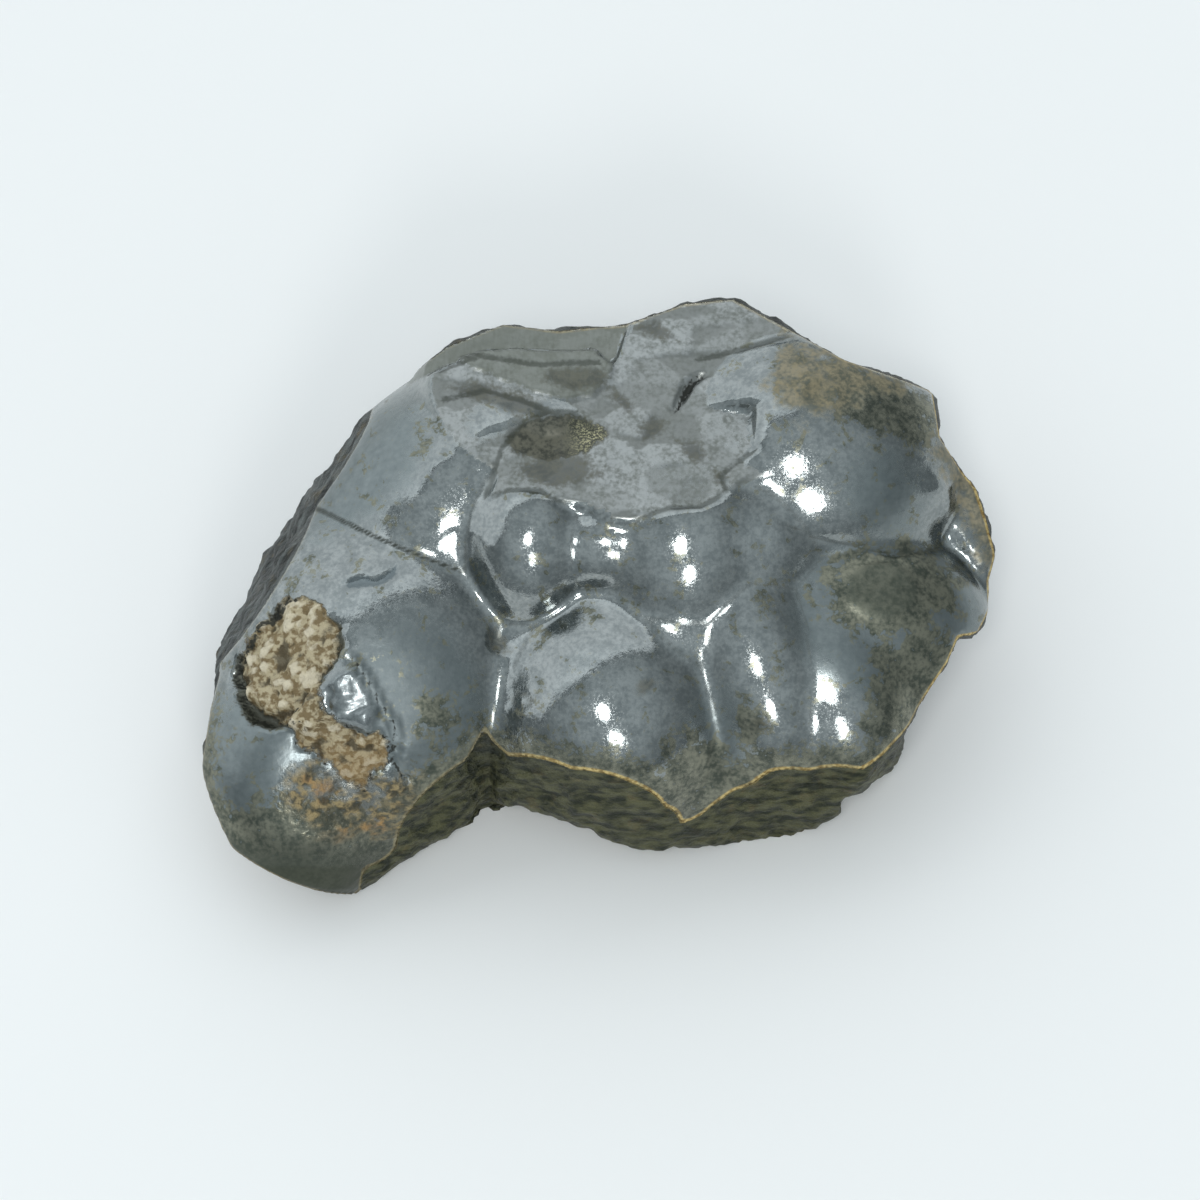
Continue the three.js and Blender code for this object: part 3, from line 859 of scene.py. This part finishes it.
def pit_filling(tree, n, look):
    """The pits' walls in painted shade, the lump between them and the tan crumbs, which have painted
    highlights on their tops and painted shade between them; also the share of those crumbs.
    """
    pit = ramp(tree, jagged(tree, n, 1.0, "pit"), 0.0, 0.15)
    # painted shade on the pits' walls round the filling
    look = layer(tree, look, pit, tint(tree, n["grains"], *PIT_SHADE), metal=0.3, rough=0.5)
    grit = ramp(tree, jagged(tree, n, 1.0, "grit"), -0.1, 0.2)
    look = layer(tree, look, grit, tint(tree, n["fine"], *GRIT), metal=0.9, rough=0.25)
    lumps = jagged(tree, n, 0.8, "lumps")
    crumb = tint(tree, ramp(tree, n["grains"], 0.42, 0.58), *CRUMB)
    # painted highlight on the tops of the crumbs
    crumb = tint(tree, ramp(tree, lumps, 0.06, 0.3, 0.0, 0.8), crumb, CRUMB_HIGHLIGHT)
    crumb = tint(tree, ramp(tree, n["v"], -3.0, -6.0, 0.0, 0.5), crumb, CRUMB_BELOW)
    # painted shade in the hollows between the crumbs
    crumb = tint(tree, ramp(tree, lumps, -0.16, -0.4, 0.0, 0.8), crumb, CRUMB_SHADE)
    tan = ramp(tree, jagged(tree, n, 1.0, "tan"), -0.05, 0.2)
    return layer(tree, look, tan, crumb, metal=0.0, rough=0.45), tan


def lines_and_gaps(tree, n, look):
    """Painted shade: thin dark lines along ledges, the shelf's lip and above the button, and near-black in
    the gaps of the pits and the crack.
    """
    # painted shade along the ledges, the lip and the button line
    line = ramp(tree, jagged(tree, n, 0.4, "line"), 0.02, 0.2, 0.0, 0.6)
    look = layer(tree, look, line, SHADE_LINE, metal=0.4, rough=0.5)
    # painted shadow, near black, in the gaps of the pits and in the crack
    gap = ramp(tree, jagged(tree, n, 1.0, "gap"), 0.0, 0.12, 0.0, 0.95)
    return layer(tree, look, gap, GAP_SHADOW, metal=0.0, rough=0.55)


def broken_sides(tree, n, crust, look):
    """Olive-brown in front and dark grey behind, streaked at the left; also the share of them."""
    fibres = ramp(tree, n["fibres"], 0.34, 0.66)
    grey = tint(tree, ramp(tree, n["mottle"], 0.38, 0.66), *GREY_BREAK)
    streaked = tint(tree, ramp(tree, n["flank"], 0.42, 0.7), *STREAKED_BREAK)
    grey = tint(tree, ramp(tree, n["u"], -12.0, -15.0), grey, streaked)
    side = tint(tree, ramp(tree, n["v"], -7.0, -2.0), tint(tree, fibres, *OLIVE_BREAK), grey)
    rusty = ramp(tree, n["blotch"], 0.54, 0.72, 0.0, 0.5)
    side = tint(tree, rusty, side, tint(tree, fibres, *RUSTY_BREAK))
    broken = ramp(tree, sums(tree, "MULTIPLY_ADD", n["ragged"], 0.4, crust), 0.0, -0.12)
    return layer(tree, look, broken, side, metal=0.2, rough=0.5), broken


def gold_rim(tree, n, crust, look):
    """A thin gold line where the crust's skin ends, strong along the lower and the right edge."""
    line = sums(tree, "MULTIPLY_ADD", n["ragged"], 0.3, sums(tree, "ADD", crust, -0.02))
    gold = ramp(tree, sums(tree, "ABSOLUTE", line), 0.19, 0.08, 0.0, 0.95)
    low, right = ramp(tree, n["v"], 0.0, -6.0, 0.3, 1.0), ramp(tree, n["u"], 18.0, 20.0)
    gold = sums(tree, "MULTIPLY", gold, sums(tree, "MAXIMUM", low, right))
    gold = sums(tree, "MULTIPLY", gold, ramp(tree, n["middle"], 0.3, 0.5, 0.5, 1.0))
    middle, toe = ramp(tree, n["u"], -8.0, -3.0, 0.3, 1.0), ramp(tree, n["v"], -13.6, -14.6)
    gold = sums(tree, "MULTIPLY", gold, sums(tree, "MAXIMUM", middle, toe))
    glint = tint(tree, ramp(tree, n["fine"], 0.35, 0.65), *GOLD)
    return layer(tree, look, gold, glint, metal=0.2, rough=0.45)


def grain_bump(tree, n, tan, ochre, broken):
    """Fine grain, strong where the stone is crumbly or broken and faint on the bright skin."""
    grainy = sums(tree, "MAXIMUM", sums(tree, "MAXIMUM", tan, ochre), broken)
    bumps = sums(tree, "MULTIPLY", n["fine"], blend(tree, grainy, 0.008, 0.16))
    bumps = sums(tree, "MULTIPLY_ADD", n["speck"], blend(tree, grainy, 0.002, 0.06), bumps)
    bumps = sums(tree, "MULTIPLY_ADD", n["streaks"], 0.003, bumps)
    bumps = sums(tree, "MULTIPLY_ADD", n["fibres"], sums(tree, "MULTIPLY", broken, 0.25), bumps)
    return add(tree, "ShaderNodeBump", {"Height": bumps, "Distance": MM, "Strength": 1.0}).outputs[0]


def hematite_material():
    material = bpy.data.materials.new("hematite")
    material.use_nodes = True
    tree = material.node_tree
    shader = tree.nodes["Principled BSDF"]
    n, crust = noises(tree), field(tree, "crust")
    look = olive_film(tree, n, crust, clean_skin(tree, n))
    look = face_marks(tree, n, shelf_and_creases(tree, n, look))
    look, ochre = ochre_stain(tree, n, brown_stains(tree, n, look))
    look, tan = pit_filling(tree, n, look)
    look, broken = broken_sides(tree, n, crust, lines_and_gaps(tree, n, look))
    look = gold_rim(tree, n, crust, look)
    shader.inputs["Specular IOR Level"].default_value = 0.3
    for name, value in zip(("Base Color", "Metallic", "Roughness"), look):
        tree.links.new(value, shader.inputs[name])
    tree.links.new(grain_bump(tree, n, tan, ochre, broken), shader.inputs["Normal"])
    return material


def plain_material(name, colour):
    material = bpy.data.materials.new(name)
    material.use_nodes = True
    shader = material.node_tree.nodes["Principled BSDF"]
    shader.inputs["Base Color"].default_value = colour
    shader.inputs["Roughness"].default_value = 0.7
    return material


# ---- the stone and the floor ----
FLOOR_SIZE = 6  # metres

stone = build_stone()
stone.data.materials.append(hematite_material())

bpy.ops.mesh.primitive_plane_add(size=FLOOR_SIZE, location=(0, 0, 0))
floor = bpy.context.object
floor.name = "floor"
floor.data.materials.append(plain_material("floor", FLOOR_WHITE))

# ---- camera ----
VIEW_HEIGHT = 62  # degrees that the camera looks down
CAMERA_AWAY = 0.5  # metres from the stone
FRAME_WIDTH = 0.072  # metres of the scene, at the stone, that the picture spans
SENSOR = 36.0  # width of the camera's sensor, in millimetres
AIM_HEIGHT = 0.009  # of the point looked at, about the middle of the stone, in metres

to_camera = Vector((0, -math.cos(math.radians(VIEW_HEIGHT)), math.sin(math.radians(VIEW_HEIGHT))))
up_face = Vector((0, math.sin(math.radians(VIEW_HEIGHT)), math.cos(math.radians(VIEW_HEIGHT))))
across = Vector((1, 0, 0))
aim = Vector((0, 0, AIM_HEIGHT))

camera_data = bpy.data.cameras.new("camera")
camera = bpy.data.objects.new("camera", camera_data)
bpy.context.scene.collection.objects.link(camera)
camera.location = aim + to_camera * CAMERA_AWAY
camera.rotation_euler = to_camera.to_track_quat("Z", "Y").to_euler()
camera_data.sensor_width = SENSOR
camera_data.lens = SENSOR * CAMERA_AWAY / FRAME_WIDTH
camera_data.clip_start = 0.01
bpy.context.scene.camera = camera

# ---- light: angles in degrees as the stone sees them, off the camera's own line; distances in metres ----
CEILING_NEAR = 42  # where the panel begins, which sets how far a dome tips before it shines
CEILING_FAR = 115
CARD_NEAR = 40.2  # the dark card lies between here and the panel
CEILING_AWAY = 1.6
CEILING_HALF_WIDTH = 3.0
LAMP_AWAY = 1.2
LAMP_WIDTH = 13  # of a lamp, as the stone sees it


def off_camera(side, near, far, away):
    """What fills the angles near to far, towards side: half its height, its middle and its turn."""
    middle_angle = math.radians((near + far) / 2)
    half = away * math.tan(math.radians((far - near) / 2))
    direction = to_camera * math.cos(middle_angle) + side * math.sin(middle_angle)
    tangent = (side * math.cos(middle_angle) - to_camera * math.sin(middle_angle)).normalized()
    turn = Matrix((tangent, direction.cross(tangent), direction)).transposed().to_euler()
    return half, aim + direction * away, turn


def panel(name, side, near, far, radiance):
    """A soft panel that the stone mirrors."""
    half, place, turn = off_camera(side, near, far, CEILING_AWAY)
    data = bpy.data.lights.new(name, "AREA")
    data.shape = "RECTANGLE"
    data.size = 2 * half
    data.size_y = 2 * CEILING_HALF_WIDTH
    data.energy = radiance * math.pi * data.size * data.size_y
    data.color = PANEL_WHITE
    light = bpy.data.objects.new(name, data)
    bpy.context.scene.collection.objects.link(light)
    light.location, light.rotation_euler = place, turn


def dark_card(name, side, near, far):
    """A dark card along the edge of a panel, which the stone mirrors as a thin dark line."""
    half, place, turn = off_camera(side, near, far, CEILING_AWAY)
    x, y = half, CEILING_HALF_WIDTH
    mesh = bpy.data.meshes.new(name)
    mesh.from_pydata([(-x, -y, 0), (x, -y, 0), (x, y, 0), (-x, y, 0)], [], [(0, 1, 2, 3)])
    mesh.materials.append(plain_material(name, CARD_GREY))
    card = bpy.data.objects.new(name, mesh)
    bpy.context.scene.collection.objects.link(card)
    card.location, card.rotation_euler = place, turn


def lamp(name, across_angle, up_angle, radiance):
    """A round lamp, which each dome mirrors as a bright spot."""
    up, side = math.radians(up_angle), math.radians(across_angle)
    upright = up_face * math.sin(up) + to_camera * math.cos(up)
    direction = across * math.sin(side) + upright * math.cos(side)
    data = bpy.data.lights.new(name, "AREA")
    data.shape = "DISK"
    data.size = 2 * LAMP_AWAY * math.tan(math.radians(LAMP_WIDTH / 2))
    data.energy = radiance * math.pi * math.pi * data.size * data.size / 4
    light = bpy.data.objects.new(name, data)
    bpy.context.scene.collection.objects.link(light)
    light.location = aim + direction * LAMP_AWAY
    light.rotation_euler = direction.to_track_quat("Z", "Y").to_euler()


def room(low, high):
    """A room that is bright where the domed face looks and darker to the sides, which shades each dome."""
    world = bpy.data.worlds.new("room")
    world.use_nodes = True
    tree = world.node_tree
    toward = add(tree, "ShaderNodeTexCoord", {}).outputs["Generated"]
    facing = {0: toward, 1: tuple(to_camera)}
    facing = add(tree, "ShaderNodeVectorMath", facing, operation="DOT_PRODUCT").outputs["Value"]
    colour = tint(tree, ramp(tree, facing, 0.3, 0.97), low, high)
    tree.links.new(colour, tree.nodes["Background"].inputs["Color"])
    return world


ceiling_side = (up_face * 0.87 - across * 0.49).normalized()  # towards the upper left
panel("ceiling", ceiling_side, CEILING_NEAR, CEILING_FAR, radiance=0.8)
dark_card("ceiling_edge", ceiling_side, CARD_NEAR, CEILING_NEAR)
lamp("lamp", across_angle=-4, up_angle=0, radiance=15)
lamp("window", across_angle=6, up_angle=-24, radiance=11)
bpy.context.scene.world = room(*ROOM)
bpy.context.scene.view_settings.view_transform = "Standard"
